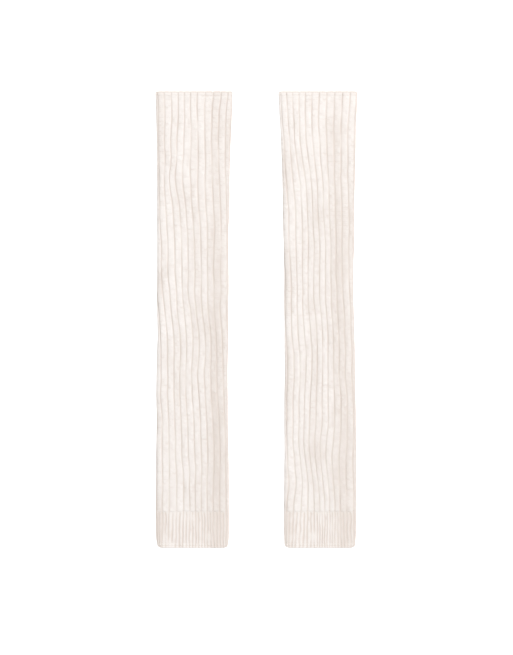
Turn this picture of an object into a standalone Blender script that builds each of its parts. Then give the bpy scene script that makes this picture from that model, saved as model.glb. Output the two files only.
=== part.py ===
"""A pair of long rib-knit leg warmers, laid flat side by side on a table.

Each leg warmer is one knitted tube, flattened, so its front lies on its back: a body in broad ribs,
a cuff in fine ribs at the bottom and a narrow bound-off edge at the top. Both ends are open.
The tube's wall is built through rings. A ring's outer points follow the ribs, which roll slowly
round the tube on the way down, and its inner points are a plain slit.

Metres with +Z up. The table is z = 0, the tops of the pair point to +Y, and the origin is under
the pair's middle. Sizes below are in millimetres.
"""

import bmesh
import bpy
import numpy as np

MM = 0.001

# The pair's driving sizes
LENGTH = 640.0
LEG_OFFSET = 89.0
HEIGHT = 6.8
SEAM_GAP = 0.3

# The wall: how deep the valleys between ribs are, and the slit between front and back
BODY_RELIEF = 1.6
EDGE_RELIEF = 0.9
CUFF_RELIEF = 1.0
UNDER_WALL = 2.7
SIDE_WALL = 3.2
SLIT = 0.6
MOUTH_SLIT = 1.2
MOUTH_REACH = 14.0

# How the sides of the flattened tube round over, seen along the leg, and over what height the slit closes
SHOULDER = 7.0
ARC_STEPS = 8
SLIT_CLOSING = 1.7
TANGENT_REACH = 0.5
SHARP_ANGLE = np.radians(50)

# The knit: broad ribs round the body, and two fine ribs of the cuff under each of them. The plain inner
# side has two points for each broad rib
RIBS = 23
FINE_RIBS = 2
INNER_POINTS = 2 * RIBS

# Heights on the leg, from the pair's middle
TOP = LENGTH / 2
BOTTOM = -LENGTH / 2
EDGE_BAND = 4.5
CUFF_LENGTH = 50.0
BODY_TOP = TOP - EDGE_BAND - SEAM_GAP
CUFF_TOP = BOTTOM + CUFF_LENGTH
BODY_BOTTOM = CUFF_TOP + SEAM_GAP
BODY_SECTIONS = 27

# Corners, seen from above, and the rounding of the rims
TOP_CORNER = 2.0
CUFF_CORNER = 4.5

# Across a rib: where its points lie, as a part of the rib, and how deep each is, as a part of the relief
BROAD_RIB = ((0.0, 1.0), (0.17, 0.3), (0.5, 0.0), (0.83, 0.3))
FINE_RIB = ((0.0, 1.0), (0.25, 0.25), (0.5, 0.0), (0.75, 0.25))

# The rings of the bound-off edge and the cuff: how far in from the open end, and how far each draws in
TOP_RINGS = ((0.0, 0.9), (0.8, 0.2), (2.1, 0.0), (EDGE_BAND, 0.3))
CUFF_RINGS = ((0.0, 0.9), (1.0, 0.1), (8.0, 0.0), (CUFF_LENGTH, 0.4))

# One row for each place down a leg: its height, its left and right edges, and where four of the
# valleys between ribs cross it, all in millimetres from the leg's own middle line
COLUMNS = ("height", "left", "right", "valley_0", "valley_3", "valley_6", "valley_9")
VALLEYS = (0, 3, 6, 9)
LEFT_LEG = (
    (320, -52.0, 56.0, -50.5, -20.5, 7.0, 40.0),
    (295, -51.5, 55.5, -49.0, -20.5, 6.0, 37.0),
    (250, -50.0, 53.5, -48.0, -22.0, 7.5, 35.5),
    (228, -50.0, 52.5, -48.0, -22.0, 7.5, 36.0),
    (205, -50.0, 52.0, -48.0, -24.5, 7.5, 36.0),
    (185, -49.5, 51.5, -48.0, -23.0, 7.5, 37.0),
    (160, -49.5, 51.5, -47.0, -19.0, 8.5, 39.5),
    (115, -49.5, 49.5, -44.5, -16.0, 10.5, 39.5),
    (50, -50.0, 50.5, -43.0, -15.5, 12.0, 38.5),
    (25, -50.0, 50.0, -40.5, -14.5, 12.0, 38.0),
    (5, -49.5, 49.5, -38.5, -12.0, 13.5, 39.5),
    (-20, -48.5, 49.5, -36.0, -9.5, 17.0, 41.0),
    (-40, -49.5, 49.5, -35.5, -9.0, 17.5, 41.5),
    (-75, -50.5, 49.0, -36.0, -10.5, 16.0, 42.5),
    (-105, -51.0, 49.0, -35.5, -10.0, 17.5, 42.5),
    (-140, -50.5, 49.0, -33.5, -7.5, 20.0, 45.0),
    (-185, -51.0, 50.0, -34.0, -6.5, 21.5, 47.0),
    (-210, -51.0, 50.5, -33.0, -4.0, 21.5, 46.5),
    (-230, -51.5, 50.5, -33.0, -5.0, 20.0, 46.5),
    (-265, -52.0, 50.5, -33.0, -4.5, 20.0, 47.0),
    (-287, -51.5, 50.5, -33.0, -5.0, 20.0, 47.0),
    (-305, -51.3, 50.4, -33.5, -5.0, 20.0, 47.0),
    (-320, -48.9, 49.4, -34.0, -5.0, 20.0, 47.0),
)
RIGHT_LEG = (
    (320, -57.5, 52.0, -56.0, -29.5, -0.5, 32.5),
    (295, -56.5, 52.0, -54.5, -29.5, -1.5, 31.0),
    (275, -55.0, 50.5, -53.0, -29.0, -2.0, 29.0),
    (250, -54.0, 50.5, -51.0, -27.5, -1.0, 29.5),
    (205, -52.5, 49.5, -48.0, -21.5, 3.0, 29.5),
    (185, -52.0, 49.0, -46.0, -19.0, 4.5, 31.0),
    (150, -51.5, 48.5, -43.0, -17.5, 4.5, 31.0),
    (105, -50.5, 48.5, -43.0, -16.5, 7.5, 31.0),
    (60, -49.5, 47.0, -40.5, -16.5, 7.5, 31.0),
    (25, -50.0, 47.0, -40.5, -16.5, 7.5, 32.5),
    (-5, -49.0, 48.5, -40.0, -14.0, 10.0, 34.0),
    (-40, -49.0, 49.0, -38.5, -12.0, 11.5, 35.5),
    (-75, -49.0, 49.5, -36.5, -12.0, 11.5, 35.5),
    (-110, -49.5, 50.0, -37.5, -13.5, 11.5, 38.0),
    (-150, -49.5, 51.0, -37.5, -15.0, 11.5, 38.0),
    (-175, -49.0, 51.0, -37.5, -15.5, 9.0, 37.0),
    (-190, -49.0, 51.5, -36.0, -14.5, 8.5, 36.5),
    (-210, -49.5, 51.5, -35.0, -12.0, 10.0, 36.5),
    (-230, -49.5, 51.0, -34.0, -9.5, 11.5, 37.0),
    (-255, -50.0, 51.5, -36.0, -8.0, 14.0, 38.0),
    (-305, -50.0, 51.0, -38.0, -8.0, 13.2, 38.0),
    (-320, -48.2, 49.0, -38.5, -8.0, 13.0, 38.0),
)

# A table is read as the mean over this reach of height, which rounds the turns between its rows
SMOOTHING = np.linspace(-7.0, 7.0, 9)

# Yarn
CREAM = (0.87, 0.81, 0.76, 1.0)
YARN_ROUGHNESS = 0.9


def clear_scene():
    for item in list(bpy.data.objects):
        bpy.data.objects.remove(item, do_unlink=True)


def read(table, name, height):
    """A column of a leg's table at any height, with soft turns between the rows."""
    rows = np.array(table)[::-1]
    return np.interp(height + SMOOTHING, rows[:, 0], rows[:, COLUMNS.index(name)]).mean()


def corner_inset(height):
    """How far the sides draw in near an open end, round the corner seen from above."""
    inset = 0.0
    for radius, distance in ((TOP_CORNER, TOP - height), (CUFF_CORNER, height - BOTTOM)):
        if distance < radius:
            inset = radius - (radius**2 - (radius - distance) ** 2) ** 0.5
    return inset


def edges_of(table, height):
    inset = corner_inset(height)
    return read(table, "left", height) + inset, read(table, "right", height) - inset


def flat_loop(left, right, low, high, shoulder, steps):
    """Points round a flattened loop: up its left side, over the front, down the right side and back below."""
    half = (high - low) / 2
    turn = np.linspace(0, np.pi / 2, steps + 1)
    middle = (low + high) / 2
    rise = half * np.sin(turn)
    upper = shoulder * (1 - np.cos(turn))
    lower = half * (1 - np.cos(turn))
    x = np.concatenate((left + upper, (right - upper)[::-1], (right - lower)[1:], (left + lower)[:0:-1]))
    z = np.concatenate((middle + rise, (middle + rise)[::-1], (middle - rise)[1:], (middle - rise)[:0:-1]))
    return np.column_stack((x, z))


def distances(loop):
    """How far along a closed loop each of its points lies, ending with the whole way round."""
    steps = np.roll(loop, -1, axis=0) - loop
    return np.concatenate(([0.0], np.cumsum(np.hypot(steps[:, 0], steps[:, 1]))))


def point_at(loop, along, where):
    """Points on a closed loop at distances along it."""
    where = np.mod(where, along[-1])
    closed = np.vstack((loop, loop[:1]))
    return np.column_stack([np.interp(where, along, closed[:, axis]) for axis in (0, 1)])


def smooth_through(at, places, values):
    """A smooth curve through a few points, each with the slope of its neighbours on both sides."""
    slopes = np.gradient(values, places)
    spot = np.clip(np.searchsorted(places, at, side="right") - 1, 0, len(places) - 2)
    width = places[spot + 1] - places[spot]
    t = (at - places[spot]) / width
    start = (1 + 2 * t) * (1 - t) ** 2 * values[spot] + t * (1 - t) ** 2 * width * slopes[spot]
    end = t**2 * (3 - 2 * t) * values[spot + 1] - t**2 * (1 - t) * width * slopes[spot + 1]
    return start + end


def rib_distances(table, height, loop, along, ribs):
    """Where each rib position lies along the outer loop: the front is charted, and the rest spaced evenly."""
    front = 2 * (ARC_STEPS + 1)
    chart = [np.interp(read(table, f"valley_{n}", height), loop[:front, 0], along[:front]) for n in VALLEYS]
    rest = (chart[0] + along[-1] - chart[-1]) / (RIBS - VALLEYS[-1])
    once_round = chart[0] + along[-1]
    places = np.array([-1, *VALLEYS, VALLEYS[-1] + 1, RIBS - 1, RIBS], float)
    values = np.array([chart[0] - rest, *chart, chart[-1] + rest, once_round - rest, once_round])
    return smooth_through(ribs, places, values)


def outer_ring(table, height, draw_in, ribs, depths):
    """The ribbed outer side at one height, and the plain loop's points over it. The ribs flatten out under
    the tube, which rests on z = 0."""
    left, right = edges_of(table, height)
    loop = flat_loop(left, right, 0.0, HEIGHT, SHOULDER, ARC_STEPS)
    along = distances(loop)
    where = rib_distances(table, height, loop, along, ribs)
    plain = point_at(loop, along, where)
    tangents = point_at(loop, along, where + TANGENT_REACH) - point_at(loop, along, where - TANGENT_REACH)
    tangents /= np.hypot(tangents[:, 0], tangents[:, 1])[:, None]
    inward = np.column_stack((tangents[:, 1], -tangents[:, 0]))
    shown = np.clip(plain[:, 1] / (HEIGHT / 2), 0, 1)
    return plain + inward * ((depths + draw_in) * shown)[:, None], plain


def slit_at(height):
    """The gap between front and back, a little wider towards the open ends."""
    from_mouth = min(TOP - height, height - BOTTOM)
    return SLIT + (MOUTH_SLIT - SLIT) * np.exp(-from_mouth / MOUTH_REACH)


def inner_ring(table, height, plain):
    """The plain inner side at one height: a slit that closes at both sides, a point of it for each of these
    points of the plain outer loop."""
    left, right = edges_of(table, height)
    across = (plain[:, 0] - left) / (right - left)
    x = left + SIDE_WALL + across * (right - left - 2 * SIDE_WALL)
    open_share = np.clip((plain[:, 1] - HEIGHT / 2) / SLIT_CLOSING, -1, 1)
    return np.column_stack((x, UNDER_WALL + SLIT / 2 + slit_at(height) / 2 * open_share))


def rib_columns(ribs_round, profile, relief):
    """Every point round the tube, counted in broad ribs, and its depth below the ribs' crests."""
    scale = RIBS / ribs_round
    ribs = [(rib + place) * scale for rib in range(ribs_round) for place, _ in profile]
    depths = [relief * depth for _ in range(ribs_round) for _, depth in profile]
    return np.array(ribs), np.array(depths)


def add_ring(bm, points, height):
    return [bm.verts.new((x * MM, height * MM, z * MM)) for x, z in points]


def bridge(bm, upper, lower):
    """Faces between two rings of as many points each."""
    for n in range(len(upper)):
        following = (n + 1) % len(upper)
        bm.faces.new((lower[n], lower[following], upper[following], upper[n]))


def close_rim(bm, outer, inner, facing_up):
    """Triangles between an outer ring and an inner one, which has one point inside each few of the outer's."""
    each = len(outer) // len(inner)
    for n, here in enumerate(inner):
        following = inner[(n + 1) % len(inner)]
        span = [outer[(n * each + step) % len(outer)] for step in range(each + 1)]
        triangles = [(span[each // 2], following, here)]
        for step in range(each):
            nearer = here if step < each // 2 else following
            triangles.append((span[step], span[step + 1], nearer))
        for triangle in triangles:
            bm.faces.new(triangle if facing_up else triangle[::-1])


def cream_yarn(name):
    material = bpy.data.materials.new(name)
    material.use_nodes = True
    shader = material.node_tree.nodes["Principled BSDF"]
    shader.inputs["Base Color"].default_value = CREAM
    shader.inputs["Roughness"].default_value = YARN_ROUGHNESS
    shader.inputs["Metallic"].default_value = 0.0
    return material


def knitted_tube(name, table, sections, columns, parent):
    """One closed wall through rings from top to bottom. A section is its height and how far it draws in."""
    ribs, depths = columns
    bm = bmesh.new()
    outers = []
    inners = []
    for height, draw_in in sections:
        outer_points, plain = outer_ring(table, height, draw_in, ribs, depths)
        inner_points = inner_ring(table, height, plain[:: len(plain) // INNER_POINTS])
        outers.append(add_ring(bm, outer_points, height))
        inners.append(add_ring(bm, inner_points, height))
    for n in range(len(sections) - 1):
        bridge(bm, outers[n], outers[n + 1])
        bridge(bm, inners[n + 1], inners[n])
    close_rim(bm, outers[0], inners[0], facing_up=True)
    close_rim(bm, outers[-1], inners[-1], facing_up=False)
    mesh = bpy.data.meshes.new(name)
    bm.to_mesh(mesh)
    bm.free()
    mesh.shade_smooth()
    mesh.set_sharp_from_angle(angle=SHARP_ANGLE)
    mesh.materials.append(cream_yarn(name + "_yarn"))
    piece = bpy.data.objects.new(name, mesh)
    piece.parent = parent
    bpy.context.scene.collection.objects.link(piece)
    return piece


def body_sections():
    return [(height, 0.0) for height in np.linspace(BODY_TOP, BODY_BOTTOM, BODY_SECTIONS)]


def top_edge_sections():
    return [(TOP - distance, draw_in) for distance, draw_in in TOP_RINGS]


def cuff_sections():
    return [(BOTTOM + distance, draw_in) for distance, draw_in in reversed(CUFF_RINGS)]


def leg_warmer(side, table, offset):
    leg = bpy.data.objects.new(side + "_leg_warmer", None)
    leg.location.x = offset * MM
    bpy.context.scene.collection.objects.link(leg)
    broad = rib_columns(RIBS, BROAD_RIB, BODY_RELIEF)
    bound_off = rib_columns(RIBS, BROAD_RIB, EDGE_RELIEF)
    fine = rib_columns(RIBS * FINE_RIBS, FINE_RIB, CUFF_RELIEF)
    knitted_tube(side + "_top_edge", table, top_edge_sections(), bound_off, leg)
    knitted_tube(side + "_body", table, body_sections(), broad, leg)
    knitted_tube(side + "_cuff", table, cuff_sections(), fine, leg)


clear_scene()
leg_warmer("left", LEFT_LEG, -LEG_OFFSET)
leg_warmer("right", RIGHT_LEG, LEG_OFFSET)
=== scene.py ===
"""The looks of a pair of long rib-knit leg warmers, laid flat side by side.

Each knitted tube is one thin closed shell with its stitches raised in it, all round: two columns of
V-shaped stitches on each broad rib of the body, one on each fine rib of the cuff, and a chain of
bound-off stitches over the open top. The ribs follow the same short tables as the solids do, with
sizes in millimetres. The meshes are then scaled to metres.
"""

import bpy
import numpy as np
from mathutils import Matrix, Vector


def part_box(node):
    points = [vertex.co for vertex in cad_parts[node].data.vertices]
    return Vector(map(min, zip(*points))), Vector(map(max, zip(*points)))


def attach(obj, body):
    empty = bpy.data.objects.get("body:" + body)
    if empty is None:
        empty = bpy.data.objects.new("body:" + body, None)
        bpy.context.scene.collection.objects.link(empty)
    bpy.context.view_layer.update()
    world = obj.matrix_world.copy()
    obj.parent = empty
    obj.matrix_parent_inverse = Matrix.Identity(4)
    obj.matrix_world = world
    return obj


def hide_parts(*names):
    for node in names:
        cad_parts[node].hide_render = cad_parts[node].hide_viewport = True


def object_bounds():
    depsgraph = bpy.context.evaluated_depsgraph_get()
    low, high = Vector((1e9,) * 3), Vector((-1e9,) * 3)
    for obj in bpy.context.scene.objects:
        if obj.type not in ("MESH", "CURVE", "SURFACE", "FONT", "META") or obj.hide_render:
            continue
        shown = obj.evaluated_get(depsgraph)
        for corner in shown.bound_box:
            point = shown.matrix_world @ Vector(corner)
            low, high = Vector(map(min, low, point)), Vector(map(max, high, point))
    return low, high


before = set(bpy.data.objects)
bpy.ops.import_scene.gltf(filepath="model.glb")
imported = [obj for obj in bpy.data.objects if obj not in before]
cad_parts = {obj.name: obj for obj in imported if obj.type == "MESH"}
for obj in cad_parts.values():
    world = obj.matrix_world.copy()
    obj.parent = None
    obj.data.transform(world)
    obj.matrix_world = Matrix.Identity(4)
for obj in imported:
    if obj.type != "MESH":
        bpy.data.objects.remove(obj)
cad_low, cad_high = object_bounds()

MM = 0.001

# The pair's sizes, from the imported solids
LENGTH = (cad_high.y - cad_low.y) / MM
HEIGHT = (cad_high.z - cad_low.z) / MM
LEG_OFFSET = 89.0
TOP = LENGTH / 2
BOTTOM = -LENGTH / 2
BODY_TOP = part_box("left_body")[1].y / MM
CUFF_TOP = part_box("left_cuff")[1].y / MM

# The wall, as in the solids
BODY_RELIEF = 1.6
CUFF_RELIEF = 1.0
UNDER_WALL = 2.7
SIDE_WALL = 3.2
SLIT = 0.6
MOUTH_SLIT = 1.2
MOUTH_REACH = 14.0
SHOULDER = 7.0
ARC_STEPS = 12
SLIT_CLOSING = 1.7
TOP_CORNER = 2.0
CUFF_CORNER = 4.5
# How far the soft yarn stands out past the solid's sides, before the ribs' valleys draw it in again
PUFF = 0.8
# How many rings each piece has down its plain inner side, and how deep the painted shade on that side is
BODY_INNER_ROWS = 30
CUFF_INNER_ROWS = 6
EDGE_INNER_ROWS = 3
INNER_PAINTED_SHADE = 1.0

# The part of the relief that is left under the tube, where the ribs are pressed on the table, and how
# high up, as a part of the tube's height, the relief is whole again
UNDER_PRESSED = 0.25
FREE_FROM = 0.78
# How deep the relief may go where the side turns most tightly, and how much deeper up over the shoulder
SIDE_DEPTH = 1.0
SHOULDER_DEPTH = 2.6

# The knit: the broad ribs round the body, and how many fine ribs, columns of stitches and bound-off
# stitches there are for each of them
RIBS = 23
FINE_RIBS = 2
WALES = 2
NEEDLES = 4
# Points round the plain inner side
INNER_POINTS = 2 * RIBS

# A stitch: from course to course, how far its legs rise to their tips, and how deep the grooves beside
# them are in the body and in the cuff
COURSE = 2.8
CHEVRON = 2.4
LEG_RELIEF = 1.0
CUFF_LEG_RELIEF = 0.65
# How uneven single stitches are: how far one shifts along the leg, how much its groove varies, as a part
# of the groove's depth, and how far its ridge sinks
STITCH_JITTER = 0.14
GROOVE_UNEVEN = 0.25
RIDGE_UNEVEN = 0.12
CUFF_GROOVE_UNEVEN = 0.2
CUFF_RIDGE_UNEVEN = 0.05
# Towards the end of a piece its stitches straighten and then flatten over these lengths, and the ribs are
# shallower at the top
END_FADE = 6.0
GROOVE_FADE = 1.5
TOP_FADE = 20.0
RELIEF_AT_TOP = 0.7
# The length over which the cuff's fine ribs grow out of the broad ones
RIB_CHANGE = 4.0
# An open end's rim is rounded over this reach, this deep at the cuff and at the top
RIM_REACH = 1.2
CUFF_RIM = 0.8
TOP_RIM = 1.0
# How deep the painted shade on the yarn is at the top's rim, towards an end, on the bound-off edge and down
# in its chain
RIM_PAINTED_SHADE = 0.6
END_PAINTED_SHADE = 0.35
END_PAINTED_SHADE_REACH = 4.0
EDGE_PAINTED_SHADE = 0.45
CHAIN_PAINTED_SHADE = 0.4
# Painted shade down each leg's right side, where it turns down, as dark as yarn this much further down
RIGHT_SIDE_PAINTED_SHADE = 0.9

# One row for each place down a leg: its height, its left and right edges, and where four of the
# valleys between ribs cross it, all in millimetres from the leg's own middle line
COLUMNS = ("height", "left", "right", "valley_0", "valley_3", "valley_6", "valley_9")
VALLEYS = (0, 3, 6, 9)
LEFT_LEG = (
    (320, -52.0, 56.0, -50.5, -20.5, 7.0, 40.0),
    (295, -51.5, 55.5, -49.0, -20.5, 6.0, 37.0),
    (250, -50.0, 53.5, -48.0, -22.0, 7.5, 35.5),
    (228, -50.0, 52.5, -48.0, -22.0, 7.5, 36.0),
    (205, -50.0, 52.0, -48.0, -24.5, 7.5, 36.0),
    (185, -49.5, 51.5, -48.0, -23.0, 7.5, 37.0),
    (160, -49.5, 51.5, -47.0, -19.0, 8.5, 39.5),
    (115, -49.5, 49.5, -44.5, -16.0, 10.5, 39.5),
    (50, -50.0, 50.5, -43.0, -15.5, 12.0, 38.5),
    (25, -50.0, 50.0, -40.5, -14.5, 12.0, 38.0),
    (5, -49.5, 49.5, -38.5, -12.0, 13.5, 39.5),
    (-20, -48.5, 49.5, -36.0, -9.5, 17.0, 41.0),
    (-40, -49.5, 49.5, -35.5, -9.0, 17.5, 41.5),
    (-75, -50.5, 49.0, -36.0, -10.5, 16.0, 42.5),
    (-105, -51.0, 49.0, -35.5, -10.0, 17.5, 42.5),
    (-140, -50.5, 49.0, -33.5, -7.5, 20.0, 45.0),
    (-185, -51.0, 50.0, -34.0, -6.5, 21.5, 47.0),
    (-210, -51.0, 50.5, -33.0, -4.0, 21.5, 46.5),
    (-230, -51.5, 50.5, -33.0, -5.0, 20.0, 46.5),
    (-265, -52.0, 50.5, -33.0, -4.5, 20.0, 47.0),
    (-287, -51.5, 50.5, -33.0, -5.0, 20.0, 47.0),
    (-305, -51.3, 50.4, -33.5, -5.0, 20.0, 47.0),
    (-320, -48.9, 49.4, -34.0, -5.0, 20.0, 47.0),
)
RIGHT_LEG = (
    (320, -57.5, 52.0, -56.0, -29.5, -0.5, 32.5),
    (295, -56.5, 52.0, -54.5, -29.5, -1.5, 31.0),
    (275, -55.0, 50.5, -53.0, -29.0, -2.0, 29.0),
    (250, -54.0, 50.5, -51.0, -27.5, -1.0, 29.5),
    (205, -52.5, 49.5, -48.0, -21.5, 3.0, 29.5),
    (185, -52.0, 49.0, -46.0, -19.0, 4.5, 31.0),
    (150, -51.5, 48.5, -43.0, -17.5, 4.5, 31.0),
    (105, -50.5, 48.5, -43.0, -16.5, 7.5, 31.0),
    (60, -49.5, 47.0, -40.5, -16.5, 7.5, 31.0),
    (25, -50.0, 47.0, -40.5, -16.5, 7.5, 32.5),
    (-5, -49.0, 48.5, -40.0, -14.0, 10.0, 34.0),
    (-40, -49.0, 49.0, -38.5, -12.0, 11.5, 35.5),
    (-75, -49.0, 49.5, -36.5, -12.0, 11.5, 35.5),
    (-110, -49.5, 50.0, -37.5, -13.5, 11.5, 38.0),
    (-150, -49.5, 51.0, -37.5, -15.0, 11.5, 38.0),
    (-175, -49.0, 51.0, -37.5, -15.5, 9.0, 37.0),
    (-190, -49.0, 51.5, -36.0, -14.5, 8.5, 36.5),
    (-210, -49.5, 51.5, -35.0, -12.0, 10.0, 36.5),
    (-230, -49.5, 51.0, -34.0, -9.5, 11.5, 37.0),
    (-255, -50.0, 51.5, -36.0, -8.0, 14.0, 38.0),
    (-305, -50.0, 51.0, -38.0, -8.0, 13.2, 38.0),
    (-320, -48.2, 49.0, -38.5, -8.0, 13.0, 38.0),
)
# A table is read as the mean over this reach of height, which rounds the turns between its rows
SMOOTHING = np.linspace(-7.0, 7.0, 9)

# Soft troughs where the tube has slumped as it was laid down, one row each: the middle's height and
# place across the leg, the reach along and across, and the depth
LEFT_TROUGHS = (
    (60, 33, 420, 11, 0.55),
    (-190, 35, 130, 13, 0.5),
    (70, 4, 190, 9, 0.3),
    (255, -52, 75, 12, 0.6),
    (55, -51, 26, 11, 0.55),
    (-140, -52, 30, 9, 0.4),
    (-285, -51, 42, 11, 0.6),
    (262, 55, 48, 12, 0.5),
    (172, -14, 24, 9, 0.4),
    (-8, 20, 20, 12, 0.35),
    (-75, -20, 60, 10, 0.3),
    (-240, 8, 50, 9, 0.3),
)
RIGHT_TROUGHS = (
    (100, 25, 170, 11, 0.65),
    (-190, 35, 190, 13, 0.65),
    (-20, -8, 210, 9, 0.3),
    (203, -52, 38, 12, 0.6),
    (62, -50, 34, 11, 0.6),
    (-90, -49, 52, 11, 0.6),
    (-285, -50, 42, 11, 0.55),
    (133, 49, 62, 12, 0.5),
    (262, 18, 34, 13, 0.4),
    (148, 0, 20, 10, 0.35),
    (-182, -4, 24, 14, 0.45),
    (-218, 20, 26, 10, 0.35),
)

# Across a broad rib, from a valley at 0 to the next at 1, with two wales of stitches between. One row for
# each column of points: its place, its depth as a part of the relief, how high a stitch's leg stands
# there, and how far up its V it lies, from 0 at the point to 1 at the tips
RIB_COLUMNS = ("place", "depth", "leg", "rise")
BROAD_RIB = np.array((
    (0.000, 1.12, 0.30, 1.0),
    (0.080, 0.46, 0.50, 1.0),
    (0.180, 0.10, 1.00, 0.5),
    (0.285, 0.17, 0.60, 0.0),
    (0.390, 0.05, 1.00, 0.5),
    (0.500, 0.17, 0.50, 1.0),
    (0.610, 0.01, 1.00, 0.5),
    (0.715, 0.11, 0.60, 0.0),
    (0.820, 0.03, 1.00, 0.5),
    (0.920, 0.37, 0.50, 1.0),
))
# The same across a fine rib, which has one wale
FINE_RIB = np.array((
    (0.00, 1.05, 0.40, 1.0),
    (0.13, 0.64, 0.50, 1.0),
    (0.28, 0.18, 1.00, 0.6),
    (0.40, 0.05, 0.90, 0.3),
    (0.50, 0.14, 0.60, 0.0),
    (0.60, 0.05, 0.90, 0.3),
    (0.72, 0.18, 1.00, 0.6),
    (0.87, 0.64, 0.50, 1.0),
))
# Rows of points for each course of stitches
BODY_STEPS = 2
CUFF_STEPS = 4

# The bound-off edge: points across a stitch, rows from the rim to its foot, and the chain along its middle
CHAIN_STEPS = 6
CHAIN_ROWS = 16
CHAIN_MIDDLE = 0.42
CHAIN_HALF = 0.36
CHAIN_RELIEF = 0.3
# The chain's links slant by this part of a stitch to either side of a groove between its two strands,
# whose depth and half width are parts of the chain's
LINK_SLANT = 0.5
STRAND_GROOVE = 0.8
STRAND_GROOVE_HALF = 0.2
# The part of the ribs' relief that is left at the rim, and from where down the edge it grows to the body's
RELIEF_AT_RIM = 0.15
RELIEF_GROWS_FROM = 0.2
# The rim dips at each valley, within this part of a rib, and a little more at single stitches, which also
# sink
SCALLOP = 0.5
SCALLOP_HALF = 0.3
STITCH_DIP = 0.08
STITCH_SINK = 0.06
# A broad rib's width, by which the yarn's turns go along the edge
RIB_WIDTH = 8.7

# How the knit wanders. A spacing is how far along the leg one random value is from the next. A sway is in
# ribs, a tightness is a part of the ribs' depth, kept between its limits, and the swell is in millimetres
SWAY_SPACING = 30.0
SWAY = 0.05
TIGHT_SPACING = 21.0
TIGHT = 0.24
TIGHT_LIMITS = (0.3, 1.6)
FINE_SPACING = 13.0
FINE_SWAY = 0.08
FINE_TIGHT = 0.4
FINE_TIGHT_LIMITS = (0.35, 1.6)
SWELL_SPACING = 26.0
SWELL = 0.12
SEEDS = {"left": 11, "right": 12}

# The camera looks straight down. The photograph's frame is 655 pixels high at this many millimetres each
IMAGE_HEIGHT_PX = 655
MM_PER_PIXEL = 1.4
CAMERA_DISTANCE = 3.2
SENSOR = 36.0
AIM = (0.35, -11.4)

# Colours, linear: the yarn's own cream, the cream of its deepest painted shade, and the floor
CREAM = (0.90, 0.868, 0.845)
PAINTED_SHADE_CREAM = (0.70, 0.63, 0.58)
FLOOR_WHITE = (0.96, 0.96, 0.96)

# Noise in the yarn, each as its scale for a metre and its detail
PATCH = (45.0, 3.0)
MOTTLE = (330.0, 2.0)
FIBRE = (1500.0, 4.0)
# What each of them adds to the yarn's tone, what the painted shade from the depth attribute adds, and the
# tone up to which it stays at its lightest
PATCH_TONE = 0.08
MOTTLE_TONE = 0.18
FIBRE_TONE = 0.15
DEPTH_PAINTED_SHADE = 0.75
LIGHT_UP_TO = 0.18
# The yarn's finest relief, which is only bumped, beside the fibre's: its plies, with their turns along a
# leg and down the rows, and the grooves between courses, with their part of a course
PLY_RELIEF = 0.2
PLY_ALONG = 0.95
PLY_DOWN = 1.4
GROOVE_RELIEF = 1.6
GROOVE_SHARE = 0.16
BUMP_STRENGTH = 0.45
BUMP_HEIGHT = 0.0002

# The studio: an even white surround, a broad soft light from the upper right, and a floor that is lit to
# white
SURROUND = 0.67
KEY_PLACE = (1.6, 2.1, 5.2)
KEY_SIZE = 2.4
KEY_POWER = 226.0
FLOOR_GLOW = 0.45
FLOOR_SIZE = 6.0
FLOOR_DROP = 0.0002


def set_camera():
    data = bpy.data.cameras.new("camera")
    data.sensor_width = SENSOR
    data.lens = SENSOR * (CAMERA_DISTANCE - HEIGHT * MM) / (IMAGE_HEIGHT_PX * MM_PER_PIXEL * MM)
    camera = bpy.data.objects.new("camera", data)
    camera.location = (AIM[0] * MM, AIM[1] * MM, CAMERA_DISTANCE)
    bpy.context.scene.collection.objects.link(camera)
    bpy.context.scene.camera = camera


def read(table, name, height):
    """A column of a leg's table at any height, with soft turns between the rows."""
    rows = np.array(table)[::-1]
    return np.interp(height + SMOOTHING, rows[:, 0], rows[:, COLUMNS.index(name)]).mean()


def corner_inset(height):
    """How far the sides draw in near an open end, round the corner seen from above."""
    inset = 0.0
    for radius, distance in ((TOP_CORNER, TOP - height), (CUFF_CORNER, height - BOTTOM)):
        if distance < radius:
            inset = radius - (radius**2 - (radius - distance) ** 2) ** 0.5
    return inset


def edges_of(table, height):
    inset = corner_inset(height) - PUFF
    return read(table, "left", height) + inset, read(table, "right", height) - inset


def flat_loop(left, right, low, high, shoulder, steps):
    """Points round a flattened loop: up its left side, over the front, down the right side and back below."""
    half = (high - low) / 2
    turn = np.linspace(0, np.pi / 2, steps + 1)
    middle = (low + high) / 2
    rise = half * np.sin(turn)
    upper = shoulder * (1 - np.cos(turn))
    lower = half * (1 - np.cos(turn))
    x = np.concatenate((left + upper, (right - upper)[::-1], (right - lower)[1:], (left + lower)[:0:-1]))
    z = np.concatenate((middle + rise, (middle + rise)[::-1], (middle - rise)[1:], (middle - rise)[:0:-1]))
    return np.column_stack((x, z))


def distances(loop):
    """How far along a closed loop each of its points lies, ending with the whole way round."""
    steps = np.roll(loop, -1, axis=0) - loop
    return np.concatenate(([0.0], np.cumsum(np.hypot(steps[:, 0], steps[:, 1]))))


def point_at(loop, along, where):
    """Points on a closed loop at distances along it."""
    where = np.mod(where, along[-1])
    closed = np.vstack((loop, loop[:1]))
    return np.column_stack([np.interp(where, along, closed[:, axis]) for axis in (0, 1)])


def smooth_through(at, places, values):
    """A smooth curve through a few points, each with the slope of its neighbours on both sides."""
    slopes = np.gradient(values, places)
    spot = np.clip(np.searchsorted(places, at, side="right") - 1, 0, len(places) - 2)
    width = places[spot + 1] - places[spot]
    t = (at - places[spot]) / width
    start = (1 + 2 * t) * (1 - t) ** 2 * values[spot] + t * (1 - t) ** 2 * width * slopes[spot]
    end = t**2 * (3 - 2 * t) * values[spot + 1] - t**2 * (1 - t) * width * slopes[spot + 1]
    return start + end


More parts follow.
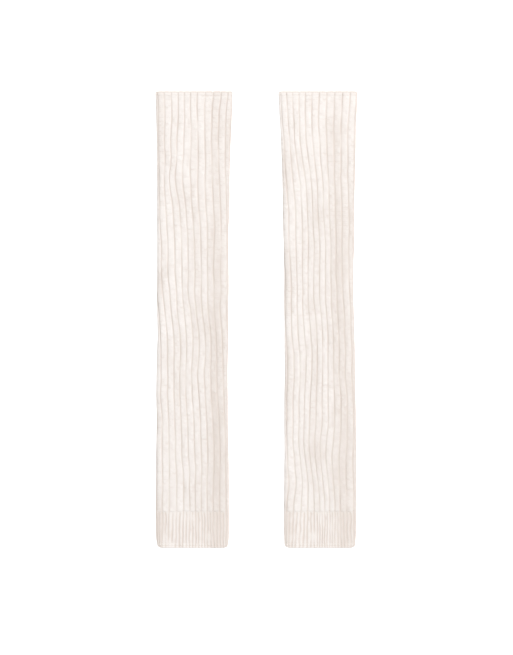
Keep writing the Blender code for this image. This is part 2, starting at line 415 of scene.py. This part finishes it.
def rib_distances(table, height, loop, along, ribs):
    """Where each rib position lies along the outer loop: the front is charted, and the rest spaced evenly."""
    front = 2 * (ARC_STEPS + 1)
    chart = [np.interp(read(table, f"valley_{n}", height), loop[:front, 0], along[:front]) for n in VALLEYS]
    rest = (chart[0] + along[-1] - chart[-1]) / (RIBS - VALLEYS[-1])
    once_round = chart[0] + along[-1]
    places = np.array([-1, *VALLEYS, VALLEYS[-1] + 1, RIBS - 1, RIBS], float)
    values = np.array([chart[0] - rest, *chart, chart[-1] + rest, once_round - rest, once_round])
    whole_turns = np.floor(ribs / RIBS)
    return smooth_through(ribs - whole_turns * RIBS, places, values) + whole_turns * along[-1]


def ease(share):
    return share * share * (3 - 2 * share)


def ease_between(value, start, end):
    return ease(np.clip((value - start) / (end - start), 0, 1))


class Waves:
    """Smooth random values along a leg, for each of so many ribs or stitches round the tube."""

    # How many spacings below the leg they start, and how many more than the leg's own there are in all
    BELOW = 2
    SPARE = 6

    def __init__(self, rng, count, spacing, size, neighbours_alike=0):
        self.spacing = spacing
        self.start = BOTTOM - self.BELOW * spacing
        knots = int(LENGTH / spacing) + self.SPARE
        values = rng.normal(0, 1, (knots, count))
        for _ in range(neighbours_alike):
            values = values + (np.roll(values, 1, axis=1) + np.roll(values, -1, axis=1)) / 2
        self.values = values * size / values.std()

    def at(self, heights):
        place = (heights - self.start) / self.spacing
        row = place.astype(int)
        share = ease(place - row)[:, None]
        return self.values[row] * (1 - share) + self.values[row + 1] * share

    def between(self, heights, places):
        """The same at places between the ribs or stitches."""
        values = self.at(heights)
        first = np.floor(places).astype(int)
        share = ease(places - first)
        count = self.values.shape[1]
        return values[:, first % count] * (1 - share) + values[:, (first + 1) % count] * share


def trough_depth(troughs, across, height):
    """How far the soft troughs sink the surface at places on a leg."""
    depth = np.zeros(across.shape)
    for middle, place, reach_along, reach_across, deep in troughs:
        far = ((height - middle) / reach_along) ** 2 + ((across - place) / reach_across) ** 2
        depth += deep * np.exp(-far)
    return depth


class Lie:
    """How the outer surface of one tube lies: its points and inward directions, by height and rib."""

    # From one height to the next, how far to both sides of a point its direction is read, and how far short
    # of the last height a place is kept
    STEP = 2.0
    REACH = 0.5
    SHORT = 0.0001

    def __init__(self, leg, high, low, ribs, sways):
        """Takes the ribs' positions, and the waves that shift them, each with how many of its ribs go to a
        broad one and its weight by height."""
        self.high = high
        self.low = low
        self.table = leg.table
        self.troughs = leg.troughs
        above = min(high + CHEVRON, TOP)
        count = int(np.ceil((above - low) / self.STEP)) + 1
        self.heights = np.linspace(low, above, count)
        self.points = np.empty((count, len(ribs), 2))
        self.inward = np.empty((count, len(ribs), 2))
        swayed = np.repeat(ribs[None, :], count, axis=0)
        for waves, scale, weight in sways:
            swayed = swayed + waves.between(self.heights, ribs * scale) * weight(self.heights)[:, None]
        for n, height in enumerate(self.heights):
            left, right = edges_of(leg.table, height)
            loop = flat_loop(left, right, 0.0, HEIGHT, SHOULDER, ARC_STEPS)
            along = distances(loop)
            where = rib_distances(leg.table, height, loop, along, swayed[n])
            self.points[n] = point_at(loop, along, where)
            tangent = point_at(loop, along, where + self.REACH) - point_at(loop, along, where - self.REACH)
            tangent /= np.hypot(tangent[:, 0], tangent[:, 1])[:, None]
            self.inward[n] = np.column_stack((tangent[:, 1], -tangent[:, 0]))

    def surface(self, height, depth):
        """Points (row, column, xyz) of the grid with these heights, this deep under the crests, and the
        painted
        shade on each, in millimetres of relief: as deep as the valleys and troughs, and deeper down the right
        side."""
        place = (height - self.low) / (self.heights[1] - self.heights[0])
        place = np.clip(place, 0, len(self.heights) - 1 - self.SHORT)
        row = place.astype(int)
        share = (place - row)[..., None]
        column = np.arange(height.shape[1])[None, :]
        points = self.points[row, column] * (1 - share) + self.points[row + 1, column] * share
        inward = self.inward[row, column] * (1 - share) + self.inward[row + 1, column] * share
        shown = np.clip(points[..., 1] / (FREE_FROM * HEIGHT), 0, 1)
        pressed = UNDER_PRESSED + (1 - UNDER_PRESSED) * shown
        sunk = depth + trough_depth(self.troughs, points[..., 0], height)
        past_side = np.clip(points[..., 1] / (HEIGHT / 2) - 1, 0, 1)
        reach = np.minimum(sunk * pressed, SIDE_DEPTH + SHOULDER_DEPTH * past_side)
        points = points + inward * reach[..., None]
        # Painted shade: darker where the relief sinks in the valleys and troughs, and down the right side as
        # it turns down
        shade = sunk + RIGHT_SIDE_PAINTED_SHADE * np.clip(-inward[..., 0], 0, 1)
        return np.stack((points[..., 0], height, np.maximum(points[..., 1], 0)), axis=-1), shade

    def inner_rings(self, count, each):
        """The plain inner side's rings from the top down, with a point inside each few of the outer ones."""
        places = (np.linspace(self.high, self.low, count) - self.low) / (self.heights[1] - self.heights[0])
        rows = np.rint(places).astype(int)
        return [inner_ring(self.table, self.heights[row], self.points[row, ::each]) for row in rows]


class Leg:
    """One leg warmer's charts and its own random waves, which its three pieces share."""

    def __init__(self, side, table, troughs):
        self.side = side
        self.table = table
        self.troughs = troughs
        self.rng = np.random.default_rng(SEEDS[side])
        self.sway = Waves(self.rng, RIBS, SWAY_SPACING, SWAY, neighbours_alike=1)
        self.fine_sway = Waves(self.rng, RIBS * FINE_RIBS, FINE_SPACING, FINE_SWAY)
        self.fine_tight = Waves(self.rng, RIBS * FINE_RIBS, FINE_SPACING, FINE_TIGHT)
        self.tight = Waves(self.rng, RIBS, TIGHT_SPACING, TIGHT)
        self.wide = Waves(self.rng, RIBS * WALES, TIGHT_SPACING, TIGHT)
        self.swell = Waves(self.rng, RIBS * WALES, SWELL_SPACING, SWELL)

    def rib_depth(self, heights):
        """The broad ribs' depth at the body's columns, which lie tighter in one place than in another."""
        rib = np.repeat(np.arange(RIBS), len(BROAD_RIB))
        place = all_round(BROAD_RIB, "place", RIBS)
        tight = self.tight.at(heights)[:, rib]
        wide = self.wide.at(heights)[:, rib * WALES + (place[0] > 0.5)]
        uneven = np.clip(1 + np.where(place == 0, tight, wide), *TIGHT_LIMITS)
        near_top = RELIEF_AT_TOP + (1 - RELIEF_AT_TOP) * ease_between(TOP - heights, 0.0, TOP_FADE)
        return BODY_RELIEF * all_round(BROAD_RIB, "depth", RIBS) * uneven * near_top[:, None]

    def swell_depth(self, heights, ribs):
        return np.abs(self.swell.between(heights, ribs * WALES - 0.5))


def inner_ring(table, height, plain):
    """The plain inner side at one height: a slit that closes at both sides, a point of it for each of these
    points of the plain outer loop."""
    left, right = edges_of(table, height)
    from_mouth = min(TOP - height, height - BOTTOM)
    slit = SLIT + (MOUTH_SLIT - SLIT) * np.exp(-from_mouth / MOUTH_REACH)
    across = (plain[:, 0] - left) / (right - left)
    x = left + SIDE_WALL + across * (right - left - 2 * SIDE_WALL)
    open_share = np.clip((plain[:, 1] - HEIGHT / 2) / SLIT_CLOSING, -1, 1)
    z = UNDER_WALL + SLIT / 2 + slit / 2 * open_share
    return np.column_stack((x, np.full(len(x), height), z))


def ring_faces(rows, columns, first, outward, rising=None):
    """Quads between the rings of a closed grid, from vertex number first. Those in rising columns start one
    corner on, so that each quad's fold, from its first corner to its third, runs with its stitch's leg."""
    row = np.arange(rows - 1)[:, None]
    column = np.arange(columns)[None, :]
    following = (column + 1) % columns
    corners = (row * columns + column, row * columns + following)
    below = ((row + 1) * columns + following, (row + 1) * columns + column)
    quads = np.stack((*corners, *below), axis=-1)
    if outward:
        quads = quads[..., ::-1].copy()
    if rising is not None:
        quads[:, rising] = np.roll(quads[:, rising], 1, axis=-1)
    return quads.reshape(-1, 4) + first


def rim_faces(first_outer, outer_count, first_inner, facing_up):
    """Triangles between an outer ring and an inner one with a point inside every few of the outer's."""
    each = outer_count // INNER_POINTS
    faces = []
    for n in range(INNER_POINTS):
        here = first_inner + n
        following = first_inner + (n + 1) % INNER_POINTS
        span = [first_outer + (n * each + step) % outer_count for step in range(each + 1)]
        triangles = [(span[each // 2], following, here)]
        for step in range(each):
            nearer = here if step < each // 2 else following
            triangles.append((span[step], span[step + 1], nearer))
        faces += [triangle if facing_up else triangle[::-1] for triangle in triangles]
    return faces


def closed_shell(name, lie, grid, yarn, tone, inner_rows):
    """A mesh object of the outer grid, from the top down, a plain inner side and the two rims."""
    rows, columns = grid.shape[:2]
    middle = grid[rows // 2, :, 1]
    rising = np.roll(middle, -1) > middle
    rings = lie.inner_rings(inner_rows, columns // INNER_POINTS)
    inner = np.vstack(rings)
    first_inner = rows * columns
    faces = ring_faces(rows, columns, 0, outward=True, rising=rising).tolist()
    faces += ring_faces(inner_rows, INNER_POINTS, first_inner, outward=False).tolist()
    smooth = len(faces)
    faces += rim_faces(0, columns, first_inner, facing_up=True)
    last_ring = first_inner + (inner_rows - 1) * INNER_POINTS
    faces += rim_faces((rows - 1) * columns, columns, last_ring, facing_up=False)
    vertices = np.vstack((grid.reshape(-1, 3), inner)) * MM
    mesh = bpy.data.meshes.new(name)
    mesh.from_pydata(vertices.tolist(), [], faces)
    mesh.polygons.foreach_set("use_smooth", np.arange(len(faces)) < smooth)
    set_yarn_map(mesh, np.vstack((yarn.reshape(-1, 2), np.zeros((len(inner), 2)))))
    # The depth attribute is the painted shade: the outer grid's, and the deepest all over the plain inner
    # side
    set_attribute(mesh, "depth", np.concatenate((tone.reshape(-1), np.full(len(inner), INNER_PAINTED_SHADE))))
    piece = bpy.data.objects.new(name, mesh)
    bpy.context.scene.collection.objects.link(piece)
    return piece


def set_yarn_map(mesh, values):
    """A UV map of distances along and across the yarn, from values at the vertices."""
    corner_vertex = np.empty(len(mesh.loops), dtype=np.int32)
    mesh.loops.foreach_get("vertex_index", corner_vertex)
    layer = mesh.uv_layers.new(name="yarn")
    layer.uv.foreach_set("vector", values[corner_vertex].astype(np.float32).reshape(-1))


def set_attribute(mesh, name, values):
    attribute = mesh.attributes.new(name, "FLOAT", "POINT")
    attribute.data.foreach_set("value", values.astype(np.float32))


def all_round(rib, name, count):
    """One column of a rib's table, repeated for so many ribs, as a row of values all round the tube."""
    return np.tile(rib[:, RIB_COLUMNS.index(name)], count)[None, :]


def body_columns():
    return (np.arange(RIBS)[:, None] + BROAD_RIB[None, :, 0]).reshape(-1)


def between_body_columns(rows, ribs):
    """Rows of values at the body's columns, read straight between them, so that its neighbours meet it."""
    columns = np.append(body_columns(), RIBS)
    return np.array([np.interp(ribs, columns, row) for row in np.hstack((rows, rows[:, :1]))])


def everywhere(heights):
    return np.ones(len(heights))


def stitch_noise(rng, courses, wales, rows_each, columns_each):
    """One random number for each stitch, laid out over the rows and columns of its points."""
    rows = np.arange(rows_each * courses + 1) // rows_each
    columns = np.repeat(np.arange(wales), columns_each)
    return rng.normal(0, 1, (courses + 1, wales))[rows][:, columns]


def yarn_map(rise, down, shape):
    """How far each point lies up its stitch's V, and how far down its piece's rows, in millimetres."""
    along = np.broadcast_to(rise * CHEVRON, shape)
    across = np.broadcast_to(down[:, None], shape)
    return np.stack((along, across), axis=-1)


def rim_rounding(from_end, deep):
    """How far a rounded rim draws in, this deep right at the open end."""
    near = np.clip(1 - from_end / RIM_REACH, 0, 1)[:, None]
    return deep * (1 - np.sqrt(1 - near**2))


def away_from_ends(heights, high, low):
    """0 at both ends of a piece and 1 further in."""
    from_end = np.minimum(high - heights, heights - low)[:, None]
    return ease_between(from_end, 0.0, END_FADE)


def body_shell(leg):
    """Rows go by half courses, groove and ridge in turn, each sheared into the stitches' V shapes."""
    high = BODY_TOP
    low = CUFF_TOP
    courses = round((high - low) / COURSE)
    rest = np.linspace(high, low, BODY_STEPS * courses + 1)
    ribs = body_columns()
    leg_height = all_round(BROAD_RIB, "leg", RIBS)
    rise = all_round(BROAD_RIB, "rise", RIBS)
    lie = Lie(leg, high, low, ribs, [(leg.sway, 1, everywhere)])
    fade = away_from_ends(rest, high, low)
    straight = ease_between(high - rest, END_FADE, 0.0)[:, None]
    ridge = (np.arange(len(rest)) % BODY_STEPS == 1)[:, None]
    per_wale = len(BROAD_RIB) // WALES
    loose = stitch_noise(leg.rng, courses, RIBS * WALES, BODY_STEPS, per_wale)
    drift = stitch_noise(leg.rng, courses, RIBS * WALES, BODY_STEPS, per_wale)
    jitter = np.where(ridge, STITCH_JITTER * drift, 0) * fade
    height = rest[:, None] + CHEVRON * rise * (1 - straight) + jitter
    loose[-1] = 0
    between_ridges = LEG_RELIEF * leg_height * (1 + GROOVE_UNEVEN * loose)
    groove = np.where(ridge, RIDGE_UNEVEN * np.abs(loose), between_ridges)
    groove = groove * ease_between(high - rest, 0.0, GROOVE_FADE)[:, None]
    depth = leg.rib_depth(rest) + leg.swell_depth(rest, ribs) * fade + groove
    grid, sunk = lie.surface(height, np.maximum(depth, 0))
    yarn = yarn_map(rise, high - rest, sunk.shape)
    # Painted shade: as deep as the relief, and deeper towards the top end
    tone = sunk / BODY_RELIEF + END_PAINTED_SHADE * ease_between(high - rest, END_PAINTED_SHADE_REACH, 0.0)[:, None]
    return closed_shell(leg.side + "_body_knit", lie, grid, yarn, tone, BODY_INNER_ROWS)


def cuff_ribs(leg, rest, ribs, change):
    """The depth of the cuff's ribs, which change from broad ones at the join to fine ones below it."""
    broad = between_body_columns(leg.rib_depth(rest), ribs)
    uneven = np.clip(1 + leg.fine_tight.between(rest, ribs * FINE_RIBS + 0.5), *FINE_TIGHT_LIMITS)
    fine = CUFF_RELIEF * all_round(FINE_RIB, "depth", RIBS * FINE_RIBS) * uneven
    return broad * (1 - change) + fine * change


def cuff_stitches(leg, rest, ribs, own, courses):
    """The depth of the grooves between the cuff's stitches, which change from the body's at the join to the
    cuff's own below it, and how far single ridges sink."""
    count = RIBS * FINE_RIBS
    loose = stitch_noise(leg.rng, courses, count, CUFF_STEPS, len(FINE_RIB))
    body_groove = LEG_RELIEF * between_body_columns(all_round(BROAD_RIB, "leg", RIBS), ribs)
    own_groove = CUFF_LEG_RELIEF * all_round(FINE_RIB, "leg", count) * (1 + CUFF_GROOVE_UNEVEN * loose)
    groove = 0.5 + 0.5 * np.cos(2 * np.pi * np.arange(len(rest)) / CUFF_STEPS)[:, None]
    groove = groove * ease_between(rest - BOTTOM, 0.0, GROOVE_FADE)[:, None]
    sinking = CUFF_RIDGE_UNEVEN * np.abs(loose) * away_from_ends(rest, CUFF_TOP, BOTTOM)
    return (body_groove * (1 - own) + own_groove * own) * groove, sinking


def cuff_shell(leg):
    """The cuff's fine ribs, which grow out of the broad ones over the first courses."""
    high = CUFF_TOP
    low = BOTTOM
    courses = round((high - low) / COURSE)
    rest = np.linspace(high, low, CUFF_STEPS * courses + 1)
    count = RIBS * FINE_RIBS
    ribs = ((np.arange(count)[:, None] + FINE_RIB[None, :, 0]) / FINE_RIBS).reshape(-1)

    def below_join(heights):
        return ease_between(high - heights, 0.0, END_FADE) / FINE_RIBS

    lie = Lie(leg, high, low, ribs, [(leg.sway, 1, everywhere), (leg.fine_sway, FINE_RIBS, below_join)])
    own = ease_between(high - rest, 0.0, END_FADE)[:, None]
    change = ease_between(high - rest, 0.0, RIB_CHANGE)[:, None]
    straight = ease_between(rest - low, END_FADE, 0.0)[:, None]
    rise = all_round(FINE_RIB, "rise", count)
    body_rise = between_body_columns(all_round(BROAD_RIB, "rise", RIBS), ribs)
    height = rest[:, None] + CHEVRON * (body_rise * (1 - own) + rise * own) * (1 - straight)
    groove, sinking = cuff_stitches(leg, rest, ribs, own, courses)
    depth = cuff_ribs(leg, rest, ribs, change) + groove + sinking
    rim = rim_rounding(rest - low, CUFF_RIM)
    grid, sunk = lie.surface(height, depth + rim)
    yarn = yarn_map(rise, high - rest, sunk.shape)
    # Painted shade: as deep as the relief, and deeper towards the open end
    tone = (sunk - rim) / (BODY_RELIEF * (1 - change) + CUFF_RELIEF * change)
    tone = tone + END_PAINTED_SHADE * ease_between(rest - low, END_PAINTED_SHADE_REACH, 0.0)[:, None]
    return closed_shell(leg.side + "_cuff_knit", lie, grid, yarn, tone, CUFF_INNER_ROWS)


def top_edge_shell(leg):
    """A chain of bound-off stitches along the rim over the last course of ribs."""
    high = TOP
    low = BODY_TOP
    count = RIBS * NEEDLES
    ribs = np.arange(count * CHAIN_STEPS) / (NEEDLES * CHAIN_STEPS)
    lie = Lie(leg, high, low, ribs, [(leg.sway, 1, everywhere)])
    rest = np.linspace(high, low, CHAIN_ROWS)
    across = ((high - rest) / (high - low))[:, None]
    phase = np.mod(np.arange(len(ribs)) / CHAIN_STEPS, 1)[None, :]
    to_body = ease_between(across, RELIEF_GROWS_FROM, 1.0)
    kept_relief = RELIEF_AT_RIM + (1 - RELIEF_AT_RIM) * to_body
    depth = between_body_columns(leg.rib_depth(rest), ribs) * kept_relief
    side = (across - CHAIN_MIDDLE) / CHAIN_HALF
    link = np.abs(np.sin(np.pi * np.mod(phase + LINK_SLANT * np.abs(side), 1)))
    strand_groove = STRAND_GROOVE * np.exp(-((side / STRAND_GROOVE_HALF) ** 2))
    chain = (1 - link) * np.clip(1 - side**2, 0, 1) + strand_groove
    depth = depth + CHAIN_RELIEF * chain
    rim = rim_rounding(high - rest, TOP_RIM)
    per_stitch = np.repeat(leg.rng.normal(0, 1, count), CHAIN_STEPS)[None, :]
    depth = depth + STITCH_SINK * np.abs(per_stitch) * (1 - to_body)
    near_valley = np.minimum(np.mod(ribs, 1), 1 - np.mod(ribs, 1))[None, :]
    scallop = SCALLOP * ease_between(near_valley, SCALLOP_HALF, 0.0) + STITCH_DIP * np.abs(per_stitch)
    height = rest[:, None] - scallop * (1 - to_body)
    grid, sunk = lie.surface(height, depth + rim)
    yarn = np.stack((np.broadcast_to(ribs[None, :] * RIB_WIDTH, sunk.shape), high - height), axis=-1)
    # Painted shade: as deep as the ribs, all over the bound-off edge, down in its chain and at the rim
    tone = (sunk - rim) / BODY_RELIEF + EDGE_PAINTED_SHADE + CHAIN_PAINTED_SHADE * chain * (1 - to_body)
    tone = tone + RIM_PAINTED_SHADE * ease_between(high - rest, RIM_REACH, 0.0)[:, None]
    return closed_shell(leg.side + "_top_edge_knit", lie, grid, yarn, tone, EDGE_INNER_ROWS)


def add_node(tree, kind, **settings):
    node = tree.nodes.new(kind)
    for name, value in settings.items():
        setattr(node, name, value)
    return node


def maths(tree, operation, *values):
    node = add_node(tree, "ShaderNodeMath", operation=operation)
    for socket, value in zip(node.inputs, values):
        if isinstance(value, (int, float)):
            socket.default_value = value
        else:
            tree.links.new(value, socket)
    return node.outputs[0]


def noise(tree, where, scale, detail):
    node = add_node(tree, "ShaderNodeTexNoise")
    node.inputs["Scale"].default_value = scale
    node.inputs["Detail"].default_value = detail
    tree.links.new(where, node.inputs["Vector"])
    return node.outputs["Fac"]


def course_grooves(tree, down):
    """1 over each course of stitches and 0 in the fine groove between two."""
    phase = maths(tree, "FRACT", maths(tree, "MULTIPLY_ADD", down, 1 / COURSE, 0.5))
    aside = maths(tree, "ABSOLUTE", maths(tree, "SUBTRACT", phase, 0.5))
    return maths(tree, "MINIMUM", maths(tree, "MULTIPLY", aside, 1 / GROOVE_SHARE), 1.0)


def yarn_colour(tree, patch, mottle, fibre):
    """The yarn's colour: its cream, with painted shade from the depth attribute, darkest in the valleys, and
    uneven all over.
    """
    # The depth attribute holds painted shade, which the ramp turns into a darker cream
    depth = add_node(tree, "ShaderNodeAttribute", attribute_name="depth").outputs["Fac"]
    tone = maths(tree, "MULTIPLY", depth, DEPTH_PAINTED_SHADE)
    for unevenness, weight in ((patch, PATCH_TONE), (mottle, MOTTLE_TONE), (fibre, FIBRE_TONE)):
        tone = maths(tree, "ADD", tone, maths(tree, "MULTIPLY", unevenness, weight))
    ramp = add_node(tree, "ShaderNodeValToRGB")
    lightest, painted_shade_stop = ramp.color_ramp.elements
    lightest.position = LIGHT_UP_TO
    lightest.color = (*CREAM, 1.0)
    painted_shade_stop.position = 1.0
    painted_shade_stop.color = (*PAINTED_SHADE_CREAM, 1.0)
    tree.links.new(tone, ramp.inputs["Fac"])
    return ramp.outputs["Color"]


def yarn_normal(tree, fibre, in_courses):
    """The yarn's finest relief: plies twisted along the stitches, fibre and the grooves between courses."""
    yarn = add_node(tree, "ShaderNodeUVMap", uv_map="yarn")
    parts = add_node(tree, "ShaderNodeSeparateXYZ")
    tree.links.new(yarn.outputs["UV"], parts.inputs[0])
    turns = maths(tree, "MULTIPLY", parts.outputs["X"], 2 * np.pi / PLY_ALONG)
    lean = maths(tree, "MULTIPLY", parts.outputs["Y"], 2 * np.pi / PLY_DOWN)
    ply = maths(tree, "SINE", maths(tree, "ADD", turns, lean))
    relief = maths(tree, "ADD", maths(tree, "MULTIPLY", ply, PLY_RELIEF), fibre)
    if in_courses:
        grooves = course_grooves(tree, parts.outputs["Y"])
        relief = maths(tree, "ADD", relief, maths(tree, "MULTIPLY", grooves, GROOVE_RELIEF))
    bump = add_node(tree, "ShaderNodeBump")
    bump.inputs["Strength"].default_value = BUMP_STRENGTH
    bump.inputs["Distance"].default_value = BUMP_HEIGHT
    tree.links.new(relief, bump.inputs["Height"])
    return bump.outputs["Normal"]


def yarn_material(name, in_courses=True):
    """Soft matte cream yarn."""
    material = bpy.data.materials.new(name)
    material.use_nodes = True
    tree = material.node_tree
    shader = tree.nodes["Principled BSDF"]
    shader.inputs["Roughness"].default_value = 0.92
    shader.inputs["Specular IOR Level"].default_value = 0.2
    shader.inputs["Sheen Weight"].default_value = 0.2
    shader.inputs["Sheen Roughness"].default_value = 0.6
    shader.inputs["Sheen Tint"].default_value = (*CREAM, 1.0)
    where = add_node(tree, "ShaderNodeTexCoord").outputs["Object"]
    patch = noise(tree, where, *PATCH)
    mottle = noise(tree, where, *MOTTLE)
    fibre = noise(tree, where, *FIBRE)
    tree.links.new(yarn_colour(tree, patch, mottle, fibre), shader.inputs["Base Color"])
    tree.links.new(yarn_normal(tree, fibre, in_courses), shader.inputs["Normal"])
    return material


def dress(piece, node, material):
    piece.data.materials.append(material)
    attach(piece, "root")
    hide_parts(node)


def leg_warmer(side, table, troughs, offset):
    leg = Leg(side, table, troughs)
    body = body_shell(leg)
    cuff = cuff_shell(leg)
    edge = top_edge_shell(leg)
    for piece in (body, cuff, edge):
        piece.location.x = offset * MM
    dress(body, side + "_body", yarn_material(side + "_body_yarn"))
    dress(cuff, side + "_cuff", yarn_material(side + "_cuff_yarn"))
    edge_yarn = yarn_material(side + "_edge_yarn", in_courses=False)
    dress(edge, side + "_top_edge", edge_yarn)


def lay_floor():
    bpy.ops.mesh.primitive_plane_add(size=FLOOR_SIZE, location=(0, 0, -FLOOR_DROP))
    floor = bpy.context.object
    floor.name = "floor"
    material = bpy.data.materials.new("floor_white")
    material.use_nodes = True
    shader = material.node_tree.nodes["Principled BSDF"]
    shader.inputs["Base Color"].default_value = (*FLOOR_WHITE, 1.0)
    shader.inputs["Roughness"].default_value = 0.9
    shader.inputs["Specular IOR Level"].default_value = 0.0
    shader.inputs["Emission Color"].default_value = (1.0, 1.0, 1.0, 1.0)
    shader.inputs["Emission Strength"].default_value = FLOOR_GLOW
    floor.data.materials.append(material)
    return floor


def set_light():
    world = bpy.data.worlds.new("studio")
    world.use_nodes = True
    background = world.node_tree.nodes["Background"]
    background.inputs["Color"].default_value = (1.0, 1.0, 1.0, 1.0)
    background.inputs["Strength"].default_value = SURROUND
    bpy.context.scene.world = world
    data = bpy.data.lights.new("key", "AREA")
    data.shape = "DISK"
    data.size = KEY_SIZE
    data.energy = KEY_POWER
    key = bpy.data.objects.new("key", data)
    key.location = KEY_PLACE
    key.rotation_euler = (-Vector(KEY_PLACE)).to_track_quat("-Z", "Y").to_euler()
    bpy.context.scene.collection.objects.link(key)
    bpy.context.scene.view_settings.view_transform = "Standard"
    bpy.context.scene.view_settings.look = "None"


set_camera()
set_light()
floor = lay_floor()
leg_warmer("left", LEFT_LEG, LEFT_TROUGHS, -LEG_OFFSET)
leg_warmer("right", RIGHT_LEG, RIGHT_TROUGHS, LEG_OFFSET)
